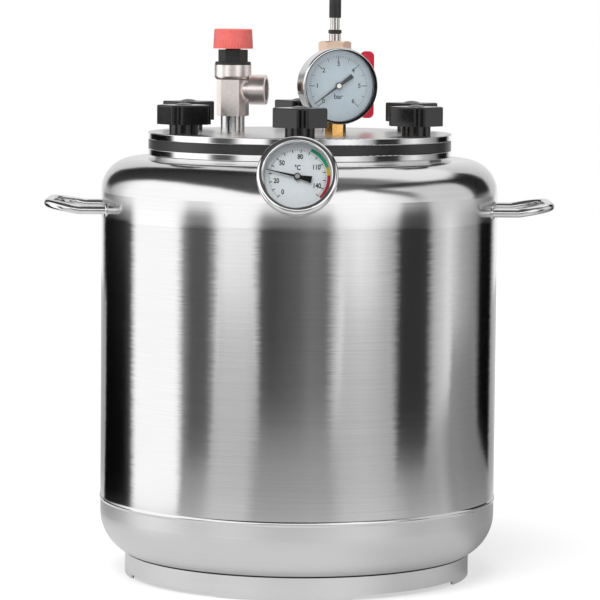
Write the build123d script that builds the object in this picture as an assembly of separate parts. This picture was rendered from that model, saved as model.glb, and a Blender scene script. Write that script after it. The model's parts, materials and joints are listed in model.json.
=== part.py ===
from build123d import *
import os
from math import acos, asin, cos, degrees, pi, radians, sin, sqrt, tan

# Pressure canner for jars. Millimetres, +Z up, front towards -Y, origin on the floor under the vessel's axis.

# Vessel
body_radius = 182.8
wall = 2.0
barrel_length = 259.8
bottom_knuckle = 40.0
bottom_straight = 14.2
top_knuckle = 31.0
top_straight = 22.2
bead_width = 5.0
bead_height = 0.8
top_bead_width = 3.0
top_bead_height = 0.3

# Base ring with its feet
ring_radius = 159.7
ring_wall = 3.0
ring_height = 21.3
foot_count = 4
foot_angle = 43.0
foot_turn = -3.9
foot_lift = 3.7

# Side handles, bent from rod
handle_rod = 4.0
handle_spacing = 100.0
handle_reach = 51.1
handle_straight = 17.0
handle_rise = 5.0
handle_bend = 26.0
handle_above_bead = 1.3
handle_weld = 1.5

# Neck, gasket and lid
lid_radius = 140.0
lid_thickness = 6.3
neck_width = 32.0
gasket_thickness = 8.5
gasket_inset = 0.6
flange_thickness = 6.3
neck_height = 2.4
neck_inset = 4.0
edge_round = 0.8

# Six clamp studs and their knobs
clamp_count = 6
clamp_inset = 19.0
first_clamp = 30.0
stud_radius = 5.0
stud_reach = 15.0
stud_clearance = 0.7
insert_radius = 8.0
insert_length = 17.0
grip_across = 41.0
grip_notch = 6.3
grip_height = 17.5
grip_round = 1.5
hub_radius = 13.3
hub_height = 9.0
dome_radius = 8.5
dome_height = 1.8
grip_turns = (51.0, 40.0, 48.0, 32.0, 51.0, 51.0)

# Jar rack
rack_gap = 5.0
rack_thickness = 1.5
rack_leg_height = 14.0
rack_leg_radius = 3.5
rack_leg_inset = 10.0
rack_hole = 7.0
rack_pitch = 25.0
rack_rings = 3

# Lid fittings stand on one circle, about a third of a turn apart
fitting_circle = 62.0
safety_angle = 180.0
gauge_angle = 301.2
ball_angle = 58.8
bush_radius = 11.0
bush_height = 15.0
bush_bore = 6.5
pipe_radius = 10.4
pipe_engaged = 12.0
hex_turn = 30.0

# Safety valve
outlet_turn = -10.0
block_width = 27.0
block_corner = 5.0
block_height = 33.2
collar_radius = 17.0
collar_height = 13.5
collar_round = 3.5
chamber_radius = 11.5
seat_height = 18.0
seat_lip = 1.5
seat_width = 1.6
outlet_height = 24.2
outlet_radius = 13.75
outlet_length = 31.5
outlet_collar = 15.0
outlet_bore = 10.0
outlet_depth = 13.0
outlet_neck = 11.0
outlet_passage = 7.0
bonnet_radius = 16.5
bonnet_flange = 3.0
bonnet_round = 1.2
bonnet_across = 23.5
bonnet_turn = 10.0
bonnet_height = 11.0
bonnet_skirt = 7.0
bonnet_wall = 4.0
bonnet_neck_radius = 7.0
bonnet_neck_height = 4.0
disc_thickness = 4.0
valve_stem = 3.0
valve_stem_reach = 5.0
spring_collar = 2.0
spring_collar_height = 14.0
spring_radius = 6.2
spring_wire = 0.9
spring_turns = 5
spring_gap = 0.15
cap_lift_room = 4.0
cap_gap = 1.0
cap_height = 18.1
cap_radius = 18.35
cap_top_radius = 17.45
cap_ribs = 40
cap_rib_depth = 0.5
cap_round = 1.5

# Round instruments
bezel_wall = 1.6
bezel_lip = 2.0
glass_thickness = 2.0
case_wall = 1.0
dial_thickness = 0.8
pointer_room = 4.5
pointer_thickness = 0.6
pointer_hub = 3.2
pointer_cap = 2.2
pointer_tip = 0.5
pointer_root = 2.2
arbor_radius = 0.8

# Pressure gauge
gauge_radius = 34.6
gauge_bezel_depth = 8.0
gauge_case_depth = 30.0
gauge_axis_depth = 18.0
gauge_rise = 44.7
gauge_turn = 14.0
gauge_rim = 2.6
gauge_crown = 1.3
gauge_rim_round = 1.0
gauge_rest = 216.0
gauge_reach = 27.5
gauge_tail = 15.5
gauge_tail_width = 4.2
socket_across = 17.0
socket_height = 11.0
socket_shank = 6.5
socket_neck = 5.0
socket_bore = 1.6
socket_block = 11.0
tube_bend_radius = 22.0
tube_width = 5.0
tube_section = 2.2
tube_sweep = 255.0
gear_module = 0.35
pinion_teeth = 14
sector_teeth = 84
sector_cut = 16
sector_lead = 3.5
gear_thickness = 1.2
gear_spread = 0.04
tooth_share = 0.8
tooth_root = 1.2
tooth_tip = 0.9
plate_thickness = 1.2
plate_gap = 1.0
plate_width = 9.0

# Thermometer on the front of the shoulder
therm_turn = -0.5
therm_tilt = 21.0
therm_stand = 25.0
therm_drop = 4.1
therm_radius = 35.4
therm_bezel_depth = 8.0
therm_case_depth = 15.0
therm_rim = 6.0
therm_crown = 3.4
therm_rim_round = 1.8
therm_rest = 167.0
therm_reach = 27.5
therm_tail = 12.5
therm_tail_width = 6.0
therm_nut_across = 17.0
therm_nut_height = 6.0
therm_stem = 4.0
therm_stem_length = 84.0
therm_stem_wall = 0.6
pocket_radius = 10.0
pocket_tube = 6.0
pocket_inside = 8.0
pocket_end = 2.0
coil_radius = 2.2
coil_wire = 0.45
coil_turns = 8
coil_pitch = 3.0

# Ball valve
ball_rise = 43.2
ball_radius = 10.2
ball_bore = 7.0
ball_cavity = 11.8
ball_room = 1.5
ball_hex = 25.0
ball_hex_height = 10.0
ball_barrel = 15.0
ball_end_height = 9.0
seat_depth = 5.0
ball_slot = 3.0
ball_slot_depth = 2.2
spindle_radius = 4.0
spindle_boss = 8.0
spindle_boss_reach = 18.3
gland_across = 15.0
gland_height = 5.0
blade_gap = 0.5
blade_hub = 8.5
blade_hub_thickness = 4.5
blade_span = 62.5
blade_depth = 13.1
blade_waist = 9.0
blade_thickness = 5.0
blade_round = 5.0
blade_nut_across = 10.0
blade_nut_height = 4.0
blade_nut_seat = 6.0

# Air valve in the plug on top of the ball valve
plug_hex = 26.5
plug_height = 13.3
plug_bevel = 1.3
plug_shank = 9.2
plug_shank_length = 9.0
air_radius = 4.35
air_bore = 1.8
air_reach = 33.7
air_nut_radius = 5.4
air_nut_height = 7.2
air_seal_radius = 6.2
air_seal_height = 3.4
air_cap_gap = 11.1
air_cap_radius = 5.6
air_cap_height = 24.0
air_cap_depth = 13.5
air_cap_ribs = 18
air_cap_rib_depth = 0.35
core_radius = 0.8
core_length = 22.0
core_head = 1.4
core_sink = 0.5

# Clearances: between assembled pieces, and between pieces that turn or slide on one another
fit = 0.1
run = 0.05

BASE = (Align.CENTER, Align.CENTER, Align.MIN)


def drum(radius, low, high):
    """A cylinder on Z between two heights."""
    return Pos(0, 0, low) * Cylinder(radius, high - low, align=BASE)


def tube(outer, inner, low, high):
    """A plain ring on Z between two heights."""
    return drum(outer, low, high) - drum(inner, low - 1, high + 1)


def prism(across, sides, low, high, turn=0.0):
    """A regular prism on Z, measured across its flats."""
    outline = RegularPolygon(across / 2, sides, major_radius=False, rotation=turn)
    return Pos(0, 0, low) * extrude(outline, amount=high - low)


def turned(*corners):
    """A solid of revolution about Z from the radius and height of each corner of its half section."""
    outline = Polyline(*[(radius, 0, height) for radius, height in corners], close=True)
    return revolve(make_face(outline.edges()), Axis.Z)


def polar(radius, angle):
    """A point on a circle about Z, with its angle in degrees from +X."""
    return radius * cos(radians(angle)), radius * sin(radians(angle))


def around(count, radius, first=0.0):
    """Places spaced evenly on a circle about Z."""
    step = 360.0 / count
    return [Pos(*polar(radius, first + step * i), 0) for i in range(count)]


def rims(solid, height):
    """The round edges of a solid that lie at one height."""
    edges = solid.edges().filter_by(GeomType.CIRCLE)
    return edges.filter_by(lambda edge: abs(edge.center().Z - height) < 1e-4)


def round_rims(solid, height, radius, least=0.0):
    """Rounds the circular edges at one height whose radius is over the least one."""
    return fillet(rims(solid, height).filter_by(lambda edge: edge.radius > least), radius)


# Widths of the neck, and heights of the vessel from the floor up
ring_reach = ring_radius - (body_radius - bottom_knuckle)
mouth_radius = lid_radius - neck_width
clamp_circle = lid_radius - clamp_inset
bottom_centre = ring_height + sqrt(bottom_knuckle**2 - ring_reach**2)
lower_seam = bottom_centre + bottom_straight
upper_seam = lower_seam + barrel_length
crown = upper_seam + top_straight + top_knuckle
floor_inside = bottom_centre - bottom_knuckle + wall
flange_low = crown + neck_height
flange_top = flange_low + flange_thickness
lid_low = flange_top + gasket_thickness
lid_top = lid_low + lid_thickness


def head_section(knuckle, straight, inner_edge, thickness):
    """Half section of a flat head with a rounded knuckle, its seam at height zero and its flat side up."""
    corner = body_radius - knuckle
    top = straight + knuckle
    mid = sqrt(0.5)
    inner = knuckle - thickness
    lines = [
        Line((body_radius, 0, 0), (body_radius, 0, straight)),
        ThreePointArc(
            (body_radius, 0, straight),
            (corner + knuckle * mid, 0, straight + knuckle * mid),
            (corner, 0, top),
        ),
        Line((corner, 0, top), (inner_edge, 0, top)),
        Line((inner_edge, 0, top), (inner_edge, 0, top - thickness)),
        Line((inner_edge, 0, top - thickness), (corner, 0, top - thickness)),
        ThreePointArc(
            (corner, 0, top - thickness),
            (corner + inner * mid, 0, straight + inner * mid),
            (corner + inner, 0, straight),
        ),
        Line((corner + inner, 0, straight), (corner + inner, 0, 0)),
        Line((corner + inner, 0, 0), (body_radius, 0, 0)),
    ]
    return make_face(lines)


def weld_bead(width, height):
    """A low rounded bead around the seam at height zero."""
    arc = ThreePointArc(
        (body_radius, 0, -width / 2),
        (body_radius + height, 0, 0),
        (body_radius, 0, width / 2),
    )
    back = Line((body_radius, 0, width / 2), (body_radius, 0, -width / 2))
    return revolve(make_face([arc, back]), Axis.Z)


def base_ring():
    """A rolled strip under the bottom head, cut away between its feet."""
    strip = tube(ring_radius, ring_radius - ring_wall, 0, bottom_centre)
    solid_head = fillet(
        drum(body_radius, bottom_centre - bottom_knuckle, lower_seam).edges().group_by(Axis.Z)[0],
        bottom_knuckle,
    )
    strip = strip - solid_head
    step = 360.0 / foot_count
    gap = 2 * ring_radius * sin(radians(step - foot_angle) / 2)
    opening = Polygon(
        (-gap / 2, -foot_lift),
        (gap / 2, -foot_lift),
        (gap / 2 - foot_lift, foot_lift),
        (foot_lift - gap / 2, foot_lift),
        align=None,
    )
    for i in range(foot_count):
        cutter = extrude(Plane.XZ * opening, amount=2 * ring_radius)
        strip = strip - Rot(0, 0, foot_turn + step * (i + 0.5)) * cutter
    return strip


def side_handle():
    """The right handle: a rod bent to a loop, its outer end raised, with a weld where each end meets the wall."""
    height = upper_seam + top_bead_width / 2 + handle_above_bead + handle_rod
    half = handle_spacing / 2
    start = body_radius - handle_spacing / 2
    knee = body_radius + handle_straight
    tip = body_radius + handle_reach - handle_rod
    path = FilletPolyline(
        (start, -half, height),
        (knee, -half, height),
        (tip, -half, height + handle_rise),
        (tip, half, height + handle_rise),
        (knee, half, height),
        (start, half, height),
        radius=handle_bend,
    )
    section = Plane(origin=path @ 0, z_dir=path % 0) * Circle(handle_rod)
    loop = sweep(section, path=path)
    ring = Pos(body_radius, 0, height) * Rot(0, 90, 0) * Torus(handle_rod + handle_weld / 2, handle_weld)
    lean = degrees(asin(half / body_radius))
    for turn in (-lean, lean):
        loop = loop + Rot(0, 0, turn) * ring
    loop = loop - drum(body_radius, upper_seam - handle_bend, crown)
    return loop - Pos(0, 0, upper_seam) * weld_bead(top_bead_width, top_bead_height)


def neck_flange():
    neck_radius = lid_radius - neck_inset
    flange = turned(
        (mouth_radius, crown),
        (neck_radius, crown),
        (neck_radius, flange_low),
        (lid_radius, flange_low),
        (lid_radius, flange_top),
        (mouth_radius, flange_top),
    )
    flange = round_rims(flange, flange_top, edge_round, mouth_radius + 1)
    flange = round_rims(flange, flange_low, edge_round, neck_radius + 1)
    for place in around(clamp_count, clamp_circle, first_clamp):
        flange = flange - place * drum(stud_radius, crown - 1, flange_top + 1)
    return flange


def gasket():
    ring = tube(lid_radius - gasket_inset, mouth_radius, flange_top, lid_low)
    for place in around(clamp_count, clamp_circle, first_clamp):
        ring = ring - place * drum(stud_radius + stud_clearance, flange_top - 1, lid_low + 1)
    return ring


def lid_plate():
    plate = drum(lid_radius, lid_low, lid_top)
    plate = round_rims(plate, lid_top, edge_round)
    plate = round_rims(plate, lid_low, edge_round)
    for place in around(clamp_count, clamp_circle, first_clamp):
        plate = plate - place * drum(stud_radius + stud_clearance, lid_low - 1, lid_top + 1)
    for angle in (safety_angle, ball_angle):
        plate = plate - fitting_place(angle) * drum(bush_radius, -lid_thickness - 1, 1)
    hole = drum(socket_shank + fit, -lid_thickness - 1, 1)
    return plate - fitting_place(gauge_angle) * hole


def clamp_stud():
    stud = drum(stud_radius, crown, lid_top + stud_reach)
    return chamfer(rims(stud, lid_top + stud_reach), stud_radius / 6)


def knob_insert():
    bush = tube(insert_radius, stud_radius + run, lid_top, lid_top + insert_length)
    return chamfer(bush.edges().group_by(Axis.Z)[-1], stud_radius / 10)


def knob_grip():
    """A moulded four-lobed grip: a square with notched corners on a round hub, domed on top."""
    low = lid_top + hub_height
    high = low + grip_height
    lobes = Rectangle(grip_across, grip_across)
    half = grip_across / 2
    for corner in around(4, half * sqrt(2), 45):
        lobes = lobes - corner * Rectangle(2 * grip_notch, 2 * grip_notch)
    lobes = fillet(lobes.vertices(), grip_round)
    grip = Pos(0, 0, low) * extrude(lobes, amount=grip_height)
    grip = fillet(grip.edges().group_by(Axis.Z)[-1], grip_round)
    ball = (dome_radius**2 + dome_height**2) / (2 * dome_height)
    dome = Pos(0, 0, high + dome_height - ball) * Sphere(ball)
    grip = grip + (dome & drum(dome_radius, high - grip_round, high + dome_height + 1))
    grip = grip + drum(hub_radius, lid_top, low + 1)
    return grip - drum(insert_radius + run, lid_top - 1, lid_top + insert_length)


def jar_rack():
    """A perforated disc on short legs that goes in through the mouth and stands on the bottom head."""
    radius = mouth_radius - rack_gap
    high = floor_inside + rack_leg_height
    holes = Sketch()
    for row in range(1, rack_rings + 1):
        holes = holes + [place * Circle(rack_hole) for place in around(6 * row, row * rack_pitch)]
    plate = extrude(Circle(radius) - holes - Circle(rack_hole), amount=rack_thickness)
    leg = drum(rack_leg_radius, floor_inside, high)
    legs = [place * leg for place in around(4, radius - rack_leg_inset, 45)]
    return Compound([Pos(0, 0, high) * plate, *legs])


def fitting_place(angle, turn=0.0):
    """The place on the lid's top where a fitting stands, turned about its own axis."""
    return Pos(*polar(fitting_circle, angle), lid_top) * Rot(0, 0, turn)


def lid_bush():
    """A steel bush through the lid, necked at its top to a pipe thread's size."""
    bush = tube(bush_radius, bush_bore, -lid_thickness, bush_height)
    return bush + tube(pipe_radius, bush_bore, bush_height, bush_height + pipe_engaged)


# Heights of the safety valve over the lid
block_top = bush_height + block_height
collar_top = block_top + collar_height
seat_top = bush_height + seat_height
outlet_axis = bush_height + outlet_height
skirt_low = collar_top - bonnet_skirt
hex_low = collar_top + bonnet_flange
hex_top = hex_low + bonnet_height
bonnet_top = hex_top + bonnet_neck_height
spring_ceiling = hex_top - bonnet_wall
spring_floor = seat_top + spring_collar_height
cap_low = hex_top + cap_gap
cap_top = cap_low + cap_height


def along_x(solid, height):
    """Lays a solid made on Z along +X, at a height."""
    return Pos(0, 0, height) * Rot(0, 90, 0) * solid


def safety_body():
    block = extrude(Rectangle(block_width, block_width), amount=block_height)
    block = chamfer(block.edges().filter_by(Axis.Z), block_corner)
    body = Pos(0, 0, bush_height) * block
    collar = drum(collar_radius, block_top, collar_top)
    body = body + fillet(collar.edges().group_by(Axis.Z)[0], collar_round)
    outlet = drum(outlet_neck, 0, outlet_length)
    outlet = outlet + drum(outlet_radius, outlet_length - outlet_collar, outlet_length)
    outlet = round_rims(outlet, outlet_length, edge_round)
    body = body + along_x(outlet, outlet_axis)
    floor = seat_top - seat_lip
    body = body - drum(pipe_radius + fit, bush_height - 1, bush_height + pipe_engaged)
    body = body - drum(bush_bore, bush_height, seat_top + 1)
    chamber = drum(chamber_radius, floor, collar_top + 1)
    body = body - (chamber - drum(bush_bore + seat_width, floor, seat_top))
    body = body - drum(collar_radius - collar_round, skirt_low, collar_top + 1)
    body = body - along_x(drum(outlet_passage, 0, outlet_length), outlet_axis)
    bore = drum(outlet_bore, outlet_length - outlet_depth, outlet_length + 1)
    return body - along_x(bore, outlet_axis)


def safety_bonnet():
    bonnet = round_rims(drum(bonnet_radius, collar_top, hex_low), hex_low, bonnet_round)
    bonnet = bonnet + prism(bonnet_across, 6, hex_low, hex_top, bonnet_turn)
    bonnet = bonnet + drum(collar_radius - collar_round - fit, skirt_low, collar_top)
    bonnet = bonnet + drum(bonnet_neck_radius, hex_top, bonnet_top)
    cavity = spring_radius + spring_wire + seat_width
    bonnet = bonnet - drum(cavity, skirt_low - 1, spring_ceiling)
    return bonnet - drum(valve_stem + run, spring_ceiling - 1, bonnet_top + 1)


def safety_disc():
    disc = drum(bush_bore + 2 * seat_width, seat_top, seat_top + disc_thickness)
    disc = disc + drum(spring_radius + spring_wire, spring_floor - spring_collar, spring_floor)
    return disc + drum(valve_stem, seat_top, bonnet_top + valve_stem_reach)


def helix_wire(radius, wire, pitch, turns, low):
    """A round wire wound on Z, its lowest coil's centre at the given height."""
    path = Pos(0, 0, low) * Helix(pitch=pitch, height=pitch * turns, radius=radius)
    section = Plane(origin=path @ 0, z_dir=path % 0) * Circle(wire)
    return sweep(section, path=path, is_frenet=True)


def safety_spring():
    low = spring_floor + spring_wire + spring_gap
    high = spring_ceiling - spring_wire - spring_gap
    return helix_wire(spring_radius, spring_wire, (high - low) / spring_turns, spring_turns, low)


def safety_cap():
    cap = turned((0, cap_low), (cap_radius, cap_low), (cap_top_radius, cap_top), (0, cap_top))
    cap = round_rims(cap, cap_top, cap_round)
    rib = Pos(cap_radius + cap_rib_depth, 0, 0) * drum(2 * cap_rib_depth, cap_low - 1, cap_top + 1)
    for i in range(cap_ribs):
        cap = cap - Rot(0, 0, i * 360.0 / cap_ribs) * rib
    cap = cap - drum(bonnet_neck_radius + fit, cap_low - 1, bonnet_top + fit)
    return cap - drum(valve_stem + fit, cap_low, bonnet_top + valve_stem_reach + cap_lift_room)


def instrument_bezel(radius, depth, rim, outer_round, inner_round):
    """A polished ring that holds the glass on a round case, its front face at height zero."""
    sleeve = radius - bezel_wall + fit
    ring = turned(
        (radius - rim, -bezel_lip),
        (radius - rim, 0),
        (radius, 0),
        (radius, -depth),
        (sleeve, -depth),
        (sleeve, -bezel_lip),
    )
    ring = fillet(rims(ring, 0).filter_by(lambda edge: edge.radius > radius - rim / 2), outer_round)
    return fillet(rims(ring, 0).filter_by(lambda edge: edge.radius < radius - rim + rim / 4), inner_round)


def instrument_case(radius, depth):
    """A round cup behind the glass."""
    outer = radius - bezel_wall
    high = -bezel_lip - glass_thickness
    cup = drum(outer, -depth, high) - drum(outer - case_wall, -depth + case_wall, high + 1)
    return cup


def instrument_glass(radius):
    return drum(radius - bezel_wall, -bezel_lip - glass_thickness, -bezel_lip)


dial_face = -bezel_lip - glass_thickness - pointer_room
pointer_low = dial_face + (pointer_room - pointer_thickness) / 2


def instrument_dial(radius):
    dial = drum(radius - bezel_wall - case_wall - fit, dial_face - dial_thickness, dial_face)
    return dial - drum(2 * arbor_radius, dial_face - dial_thickness - 1, dial_face + 1)


def instrument_pointer(reach, tail, tail_width, angle):
    """A pointer that tapers to its tip and widens to its tail, at an angle from the dial's right."""
    blade = Polygon(
        (reach, -pointer_tip / 2),
        (reach, pointer_tip / 2),
        (0, pointer_root / 2),
        (-tail, tail_width / 2),
        (-tail, -tail_width / 2),
        (0, -pointer_root / 2),
        align=None,
    )
    flat = extrude(blade + Circle(pointer_hub), amount=pointer_thickness)
    flat = flat - drum(arbor_radius, -1, pointer_thickness + 1)
    return Pos(0, 0, pointer_low) * Rot(0, 0, angle) * flat


def pointer_button():
    """The round cap on a pointer's hub."""
    low = pointer_low + pointer_thickness
    return drum(pointer_cap, low, low + pointer_thickness)


# Gauge: its own frame has the dial's middle at the front of the bezel, +Z out of the dial
gauge_foot = Pos(*polar(fitting_circle, gauge_angle), lid_top + gauge_rise)
gauge_place = gauge_foot * Rot(0, 0, gauge_turn) * Rot(90, 0, 0) * Pos(0, 0, gauge_axis_depth)
pinion_radius = gear_module * pinion_teeth / 2
sector_radius = gear_module * sector_teeth / 2
gear_distance = pinion_radius + sector_radius + gear_spread
gear_top = dial_face - dial_thickness - plate_gap
gear_low = gear_top - gear_thickness
plate_top = gear_low - plate_gap
plate_low = plate_top - plate_thickness


def involute(angle):
    return tan(angle) - angle


def tooth_outline(teeth, centre):
    """Points of one involute tooth, from its foot up one flank and down the other."""
    pressure = radians(20)
    pitch = gear_module * teeth / 2
    base = pitch * cos(pressure)
    root = pitch - tooth_root * gear_module
    tip = pitch + tooth_tip * gear_module
    half = tooth_share * pi / (2 * teeth) + involute(pressure)
    flank = []
    for radius in (root, max(base, root), pitch, (pitch + tip) / 2, tip):
        spread = half - involute(acos(min(1.0, base / radius)))
        flank.append((radius, spread))
    left = [(r * cos(centre - a), r * sin(centre - a)) for r, a in flank]
    right = [(r * cos(centre + a), r * sin(centre + a)) for r, a in reversed(flank)]
    return left + right


def gauge_arbor():
    """The pointer's shaft with its pinion."""
    points = []
    for i in range(pinion_teeth):
        points = points + tooth_outline(pinion_teeth, 2 * pi * i / pinion_teeth - pi / 2)
    pinion = Pos(0, 0, gear_low) * extrude(Polygon(*points, align=None), amount=gear_thickness)
    return pinion + drum(arbor_radius, plate_low, pointer_low + pointer_thickness) + pointer_button()


def gauge_sector():
    """A toothed sector on its pivot under the pinion, at the zero end of its travel."""
    step = 2 * pi / sector_teeth
    points = [(0, 0)]
    for i in range(sector_cut):
        points = points + tooth_outline(sector_teeth, pi / 2 + (i + sector_lead - sector_cut) * step)
    fan = Pos(0, 0, gear_low) * extrude(Polygon(*points, align=None), amount=gear_thickness)
    hub = drum(3 * arbor_radius, gear_low, gear_top)
    pivot = drum(arbor_radius, plate_low, gear_top + plate_gap / 2)
    return Pos(0, -gear_distance, 0) * (fan + hub + pivot)


def bourdon_tube():
    """A flat tube bent round the case from the socket's block."""
    middle = -(gauge_axis_depth + gauge_case_depth) / 2 + case_wall
    section = Plane.XZ * Pos(tube_bend_radius, middle) * SlotOverall(tube_width, tube_section, rotation=90)
    bend = revolve(section, Axis.Z, revolution_arc=tube_sweep)
    return Rot(0, 0, -90) * bend


def socket_core():
    """The block inside the case that carries the tube and the movement's plate."""
    low = -tube_bend_radius - socket_block / 2
    depth = plate_low + gauge_case_depth - 2 * case_wall
    core = Pos(0, low + socket_block / 2, plate_low - depth / 2) * Box(socket_block, socket_block, depth)
    plate = Pos(0, -gear_distance / 2, plate_low) * extrude(
        SlotCenterToCenter(gear_distance, plate_width, rotation=90), amount=plate_thickness
    )
    for y in (0, -gear_distance):
        plate = plate - Pos(0, y, 0) * drum(arbor_radius + run, plate_low - 1, plate_top + 1)
    return core + plate


def gauge_socket():
    """Brass socket: a shank through the lid, a hexagon, a neck into the case and the block inside it."""
    rise = gauge_rise - tube_bend_radius
    socket = prism(socket_across, 6, 0, socket_height)
    socket = socket + drum(socket_shank, -lid_thickness, 0)
    socket = socket + drum(socket_neck, socket_height, rise)
    socket = Pos(0, 0, -gauge_rise) * socket
    upright = Pos(0, 0, -gauge_axis_depth) * Rot(-90, 0, 0)
    core = upright * socket + socket_core()
    bore = Pos(0, 0, -gauge_rise) * drum(socket_bore, -lid_thickness - 1, rise)
    return core - upright * bore


def gauge_case():
    upright = Pos(0, 0, -gauge_axis_depth) * Rot(-90, 0, 0)
    hole = upright * drum(socket_neck + fit, -gauge_rise, 0)
    return instrument_case(gauge_radius, gauge_case_depth) - hole


# Thermometer: its own frame has the dial's middle at the front of the bezel, +Z out of the dial
therm_front = Pos(0, -body_radius - therm_stand, crown - therm_drop)
therm_place = Rot(0, 0, therm_turn) * therm_front * Rot(90 - therm_tilt, 0, 0)
nut_low = -therm_case_depth - therm_nut_height
stem_end = nut_low - therm_stem_length


def shoulder_depth():
    """How far behind the bezel's front the thermometer's axis meets the shoulder."""
    slope = radians(therm_tilt)
    out = body_radius + therm_stand - (body_radius - top_knuckle)
    up = top_knuckle - therm_drop
    along = out * cos(slope) + up * sin(slope)
    return along - sqrt(along**2 - out**2 - up**2 + top_knuckle**2)


def thermometer_pocket():
    """A sleeve welded through the shoulder, with a closed tube that dips into the vessel."""
    sleeve = drum(pocket_radius, -shoulder_depth() - pocket_inside, nut_low)
    dip = drum(pocket_tube, stem_end - fit - pocket_end, nut_low - 1)
    return sleeve + dip - drum(therm_stem + fit, stem_end - fit, nut_low + 1)


def thermometer_stem():
    nut = prism(therm_nut_across, 6, nut_low, -therm_case_depth)
    sheath = nut + drum(therm_stem, stem_end, nut_low)
    bore = drum(therm_stem - therm_stem_wall, stem_end + therm_stem_wall, -therm_case_depth + 1)
    return sheath - bore


def thermometer_case():
    cup = instrument_case(therm_radius, therm_case_depth)
    return cup - drum(therm_stem - therm_stem_wall, -therm_case_depth - 1, dial_face)


def thermometer_pointer():
    spindle = drum(arbor_radius, stem_end + coil_pitch, pointer_low + pointer_thickness)
    pointer = instrument_pointer(therm_reach, therm_tail, therm_tail_width, therm_rest)
    return pointer + spindle + pointer_button()


def thermometer_coil():
    return helix_wire(coil_radius, coil_wire, coil_pitch, coil_turns, stem_end + 2 * coil_pitch)


# Ball valve heights over the lid
barrel_low = bush_height + ball_hex_height
barrel_top = 2 * ball_rise - barrel_low - fit
end_top = barrel_top + ball_end_height
cavity_low = ball_rise - ball_radius - ball_room
cavity_top = ball_rise + ball_radius + ball_room
plug_top = end_top + plug_height


def ball_body():
    body = prism(ball_hex, 6, bush_height, barrel_low, hex_turn) + drum(ball_barrel, barrel_low, barrel_top)
    body = round_rims(body, barrel_top, edge_round)
    body = body + along_x(drum(spindle_boss, 0, spindle_boss_reach), ball_rise)
    body = body - drum(pipe_radius + fit, bush_height - 1, bush_height + pipe_engaged)
    body = body - drum(ball_bore, bush_height, ball_rise)
    body = body - drum(ball_cavity, cavity_low, barrel_top + 1)
    return body - along_x(drum(spindle_radius + run, 0, spindle_boss_reach + 1), ball_rise)


def ball_end():
    end = prism(ball_hex, 6, barrel_top, end_top, hex_turn) + drum(ball_cavity - fit, cavity_top, barrel_top)
    end = end - drum(ball_bore, cavity_top - 1, end_top)
    return end - drum(plug_shank + fit, end_top - plug_shank_length - fit, end_top + 1)


def ball_seats():
    """Two soft rings cupped to the ball, above and below it."""
    ring = tube(ball_cavity - fit, ball_bore, cavity_low, cavity_low + seat_depth)
    ring = ring - Pos(0, 0, ball_rise) * Sphere(ball_radius + run)
    return [ring, mirror(ring, Plane.XY.offset(ball_rise))]


def ball():
    sphere = Pos(0, 0, ball_rise) * Sphere(ball_radius)
    sphere = sphere - drum(ball_bore, 0, 2 * ball_rise)
    slot = Pos(ball_radius, 0, ball_rise) * Box(2 * ball_slot_depth, ball_slot, 2 * ball_radius)
    return sphere - slot


def ball_spindle():
    """A stem whose tongue sits in the ball's slot and whose outer end carries the handle."""
    start = ball_radius + run
    end = spindle_boss_reach + gland_height + blade_gap + blade_hub_thickness + blade_nut_height
    stem = along_x(drum(spindle_radius, start, end), ball_rise)
    width = ball_slot - 2 * run
    reach = ball_slot_depth - run
    tongue = Pos(start - reach / 2, 0, ball_rise) * Box(reach, width, spindle_radius)
    return stem + tongue


def gland_nut():
    low = spindle_boss_reach
    nut = prism(gland_across, 6, low, low + gland_height)
    nut = nut - drum(spindle_radius + run, low - 1, low + gland_height + 1)
    return along_x(nut, ball_rise)


blade_low = spindle_boss_reach + gland_height + blade_gap


def ball_handle():
    """A butterfly handle: a round hub with two paddles, in line with the flow when the valve is open."""
    half = blade_span / 2
    paddle = Polygon(
        (blade_low, 0),
        (blade_low, half),
        (blade_low + blade_depth, half),
        (blade_low + blade_depth, blade_waist),
        (blade_low + blade_hub_thickness, blade_waist / 2),
        (blade_low + blade_hub_thickness, 0),
        align=None,
    )
    wing = fillet(paddle.vertices().group_by(Axis.Y)[-1], blade_round)
    wing = extrude(Plane.XZ * wing, amount=blade_thickness / 2, both=True)
    wings = wing + mirror(wing, Plane.XY)
    hub = along_x(drum(blade_hub, blade_low, blade_low + blade_hub_thickness), 0)
    bore = along_x(drum(spindle_radius, blade_low - 1, blade_low + blade_depth + 1), 0)
    top = blade_low + blade_hub_thickness
    recess = along_x(drum(blade_nut_seat, top, top + blade_depth), 0)
    return Pos(0, 0, ball_rise) * (wings + hub - bore - recess)


def handle_nut():
    low = blade_low + blade_hub_thickness
    nut = prism(blade_nut_across, 6, low, low + blade_nut_height)
    nut = nut - drum(spindle_radius, low - 1, low + blade_nut_height + 1)
    return along_x(nut, ball_rise)


# Air valve heights over the lid
air_nut_top = plug_top + air_nut_height
air_seal_top = air_nut_top + air_seal_height
air_cap_low = air_seal_top + air_cap_gap
air_top = plug_top + air_reach
core_top = air_top - core_sink


def air_plug():
    corner = plug_hex / sqrt(3)
    bevelled = turned(
        (0, end_top),
        (corner, end_top),
        (corner, plug_top - plug_bevel),
        (plug_hex / 2, plug_top),
        (0, plug_top),
    )
    plug = prism(plug_hex, 6, end_top, plug_top) & bevelled
    plug = plug + drum(plug_shank, end_top - plug_shank_length, end_top)
    return plug - drum(air_radius + fit, end_top - plug_shank_length - 1, plug_top + 1)


def air_stem():
    stem = drum(air_radius, end_top - plug_shank_length, air_top)
    return stem - drum(air_bore, end_top - plug_shank_length - 1, air_top + 1)


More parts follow.
